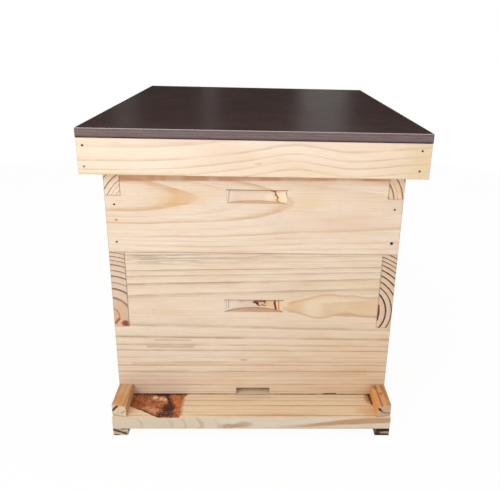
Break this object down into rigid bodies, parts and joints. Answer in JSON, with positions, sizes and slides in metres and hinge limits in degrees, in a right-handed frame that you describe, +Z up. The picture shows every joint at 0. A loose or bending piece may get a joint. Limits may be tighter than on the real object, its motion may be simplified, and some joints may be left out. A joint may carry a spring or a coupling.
{
  "type": "bee hive",
  "caption": "Stacked pine bee hive: floor with landing board, brood box with entrance notch, super, hanging frames and a lift-off telescoping plywood roof.",
  "frame": {"origin": "middle of the footprint at the ground, under the battens", "axes": "+Z up, -Y is the front with the entrance and landing board, +X to the right when looking at the front"},
  "size_m": [0.4684, 0.5914, 0.4569],
  "materials": {
    "pine_roof": "planed raw pine, pale cream",
    "film_plywood": "film-faced plywood, dark brown, semi-gloss",
    "pine_super": "planed raw pine, flat sawn",
    "pine_brood": "planed raw pine, fine near-parallel grain",
    "pine_floor": "planed raw pine with knots",
    "pine_cheek": "planed raw pine, orange heartwood",
    "pine_batten": "sawn raw pine, darkened ends",
    "pine_frame": "planed raw pine",
    "beeswax": "pressed wax sheet, waxy satin",
    "nail_steel": "dull dark steel nail heads"
  },
  "bodies": {
    "floor": {"floor_batten_left": "pine_batten", "floor_batten_right": "pine_batten", "floor_cheek_left": "pine_cheek", "floor_cheek_right": "pine_cheek", "floor_deck_board_2": "pine_floor", "floor_deck_board_3": "pine_floor", "floor_deck_board_4": "pine_floor", "floor_landing_board": "pine_floor"},
    "brood_box": {"brood_back_board": "pine_brood", "brood_front_board": "pine_brood", "brood_left_board": "pine_brood", "brood_right_board": "pine_brood"},
    "super_box": {"super_back_board": "pine_super", "super_front_board": "pine_super", "super_left_board": "pine_super", "super_nail_left_lower": "nail_steel", "super_nail_left_middle": "nail_steel", "super_nail_left_upper": "nail_steel", "super_nail_right_lower": "nail_steel", "super_nail_right_upper": "nail_steel", "super_right_board": "pine_super"},
    "roof": {"roof_nail_left_lower": "nail_steel", "roof_nail_left_upper": "nail_steel", "roof_nail_right_lower": "nail_steel", "roof_nail_right_upper": "nail_steel", "roof_panel": "film_plywood", "roof_rim_back": "pine_roof", "roof_rim_front": "pine_roof", "roof_rim_left": "pine_roof", "roof_rim_right": "pine_roof"},
    "brood_frame_01": {"brood_frame_01": "pine_frame"},
    "brood_frame_02": {"brood_frame_02": "pine_frame"},
    "brood_frame_03": {"brood_frame_03": "pine_frame"},
    "brood_frame_04": {"brood_frame_04": "pine_frame"},
    "brood_frame_05": {"brood_frame_05_back_side_bar": "pine_frame", "brood_frame_05_bottom_bar": "pine_frame", "brood_frame_05_foundation": "beeswax", "brood_frame_05_front_side_bar": "pine_frame", "brood_frame_05_top_bar": "pine_frame"},
    "brood_frame_06": {"brood_frame_06": "pine_frame"},
    "brood_frame_07": {"brood_frame_07": "pine_frame"},
    "brood_frame_08": {"brood_frame_08": "pine_frame"},
    "brood_frame_09": {"brood_frame_09": "pine_frame"},
    "brood_frame_10": {"brood_frame_10": "pine_frame"},
    "super_frame_01": {"super_frame_01": "pine_frame"},
    "super_frame_02": {"super_frame_02": "pine_frame"},
    "super_frame_03": {"super_frame_03": "pine_frame"},
    "super_frame_04": {"super_frame_04": "pine_frame"},
    "super_frame_05": {"super_frame_05_back_side_bar": "pine_frame", "super_frame_05_bottom_bar": "pine_frame", "super_frame_05_foundation": "beeswax", "super_frame_05_front_side_bar": "pine_frame", "super_frame_05_top_bar": "pine_frame"},
    "super_frame_06": {"super_frame_06": "pine_frame"},
    "super_frame_07": {"super_frame_07": "pine_frame"},
    "super_frame_08": {"super_frame_08": "pine_frame"},
    "super_frame_09": {"super_frame_09": "pine_frame"},
    "super_frame_10": {"super_frame_10": "pine_frame"}
  },
  "joints": [
    {"name": "brood_box_lift", "type": "slide", "parent": "floor", "child": "brood_box", "axis": [0, 0, 1], "range_m": [0, 0.08]},
    {"name": "super_lift", "type": "slide", "parent": "brood_box", "child": "super_box", "axis": [0, 0, 1], "range_m": [0, 0.26]},
    {"name": "roof_lift", "type": "slide", "parent": "super_box", "child": "roof", "axis": [0, 0, 1], "range_m": [0, 0.26]},
    {"name": "brood_frame_01_draw", "type": "slide", "parent": "brood_box", "child": "brood_frame_01", "axis": [0, 0, 1], "range_m": [0, 0.24]},
    {"name": "brood_frame_02_draw", "type": "slide", "parent": "brood_box", "child": "brood_frame_02", "axis": [0, 0, 1], "range_m": [0, 0.24]},
    {"name": "brood_frame_03_draw", "type": "slide", "parent": "brood_box", "child": "brood_frame_03", "axis": [0, 0, 1], "range_m": [0, 0.24]},
    {"name": "brood_frame_04_draw", "type": "slide", "parent": "brood_box", "child": "brood_frame_04", "axis": [0, 0, 1], "range_m": [0, 0.24]},
    {"name": "brood_frame_05_draw", "type": "slide", "parent": "brood_box", "child": "brood_frame_05", "axis": [0, 0, 1], "range_m": [0, 0.24]},
    {"name": "brood_frame_06_draw", "type": "slide", "parent": "brood_box", "child": "brood_frame_06", "axis": [0, 0, 1], "range_m": [0, 0.24]},
    {"name": "brood_frame_07_draw", "type": "slide", "parent": "brood_box", "child": "brood_frame_07", "axis": [0, 0, 1], "range_m": [0, 0.24]},
    {"name": "brood_frame_08_draw", "type": "slide", "parent": "brood_box", "child": "brood_frame_08", "axis": [0, 0, 1], "range_m": [0, 0.24]},
    {"name": "brood_frame_09_draw", "type": "slide", "parent": "brood_box", "child": "brood_frame_09", "axis": [0, 0, 1], "range_m": [0, 0.24]},
    {"name": "brood_frame_10_draw", "type": "slide", "parent": "brood_box", "child": "brood_frame_10", "axis": [0, 0, 1], "range_m": [0, 0.24]},
    {"name": "super_frame_01_draw", "type": "slide", "parent": "super_box", "child": "super_frame_01", "axis": [0, 0, 1], "range_m": [0, 0.172]},
    {"name": "super_frame_02_draw", "type": "slide", "parent": "super_box", "child": "super_frame_02", "axis": [0, 0, 1], "range_m": [0, 0.172]},
    {"name": "super_frame_03_draw", "type": "slide", "parent": "super_box", "child": "super_frame_03", "axis": [0, 0, 1], "range_m": [0, 0.172]},
    {"name": "super_frame_04_draw", "type": "slide", "parent": "super_box", "child": "super_frame_04", "axis": [0, 0, 1], "range_m": [0, 0.172]},
    {"name": "super_frame_05_draw", "type": "slide", "parent": "super_box", "child": "super_frame_05", "axis": [0, 0, 1], "range_m": [0, 0.172]},
    {"name": "super_frame_06_draw", "type": "slide", "parent": "super_box", "child": "super_frame_06", "axis": [0, 0, 1], "range_m": [0, 0.172]},
    {"name": "super_frame_07_draw", "type": "slide", "parent": "super_box", "child": "super_frame_07", "axis": [0, 0, 1], "range_m": [0, 0.172]},
    {"name": "super_frame_08_draw", "type": "slide", "parent": "super_box", "child": "super_frame_08", "axis": [0, 0, 1], "range_m": [0, 0.172]},
    {"name": "super_frame_09_draw", "type": "slide", "parent": "super_box", "child": "super_frame_09", "axis": [0, 0, 1], "range_m": [0, 0.172]},
    {"name": "super_frame_10_draw", "type": "slide", "parent": "super_box", "child": "super_frame_10", "axis": [0, 0, 1], "range_m": [0, 0.172]}
  ],
  "couplings": [
    {"joint": "brood_frame_01_draw", "follows": "super_lift", "ratio": 0.92},
    {"joint": "brood_frame_02_draw", "follows": "super_lift", "ratio": 0.92},
    {"joint": "brood_frame_03_draw", "follows": "super_lift", "ratio": 0.92},
    {"joint": "brood_frame_04_draw", "follows": "super_lift", "ratio": 0.92},
    {"joint": "brood_frame_05_draw", "follows": "super_lift", "ratio": 0.92},
    {"joint": "brood_frame_06_draw", "follows": "super_lift", "ratio": 0.92},
    {"joint": "brood_frame_07_draw", "follows": "super_lift", "ratio": 0.92},
    {"joint": "brood_frame_08_draw", "follows": "super_lift", "ratio": 0.92},
    {"joint": "brood_frame_09_draw", "follows": "super_lift", "ratio": 0.92},
    {"joint": "brood_frame_10_draw", "follows": "super_lift", "ratio": 0.92},
    {"joint": "super_frame_01_draw", "follows": "roof_lift", "ratio": 0.66},
    {"joint": "super_frame_02_draw", "follows": "roof_lift", "ratio": 0.66},
    {"joint": "super_frame_03_draw", "follows": "roof_lift", "ratio": 0.66},
    {"joint": "super_frame_04_draw", "follows": "roof_lift", "ratio": 0.66},
    {"joint": "super_frame_05_draw", "follows": "roof_lift", "ratio": 0.66},
    {"joint": "super_frame_06_draw", "follows": "roof_lift", "ratio": 0.66},
    {"joint": "super_frame_07_draw", "follows": "roof_lift", "ratio": 0.66},
    {"joint": "super_frame_08_draw", "follows": "roof_lift", "ratio": 0.66},
    {"joint": "super_frame_09_draw", "follows": "roof_lift", "ratio": 0.66},
    {"joint": "super_frame_10_draw", "follows": "roof_lift", "ratio": 0.66}
  ]
}
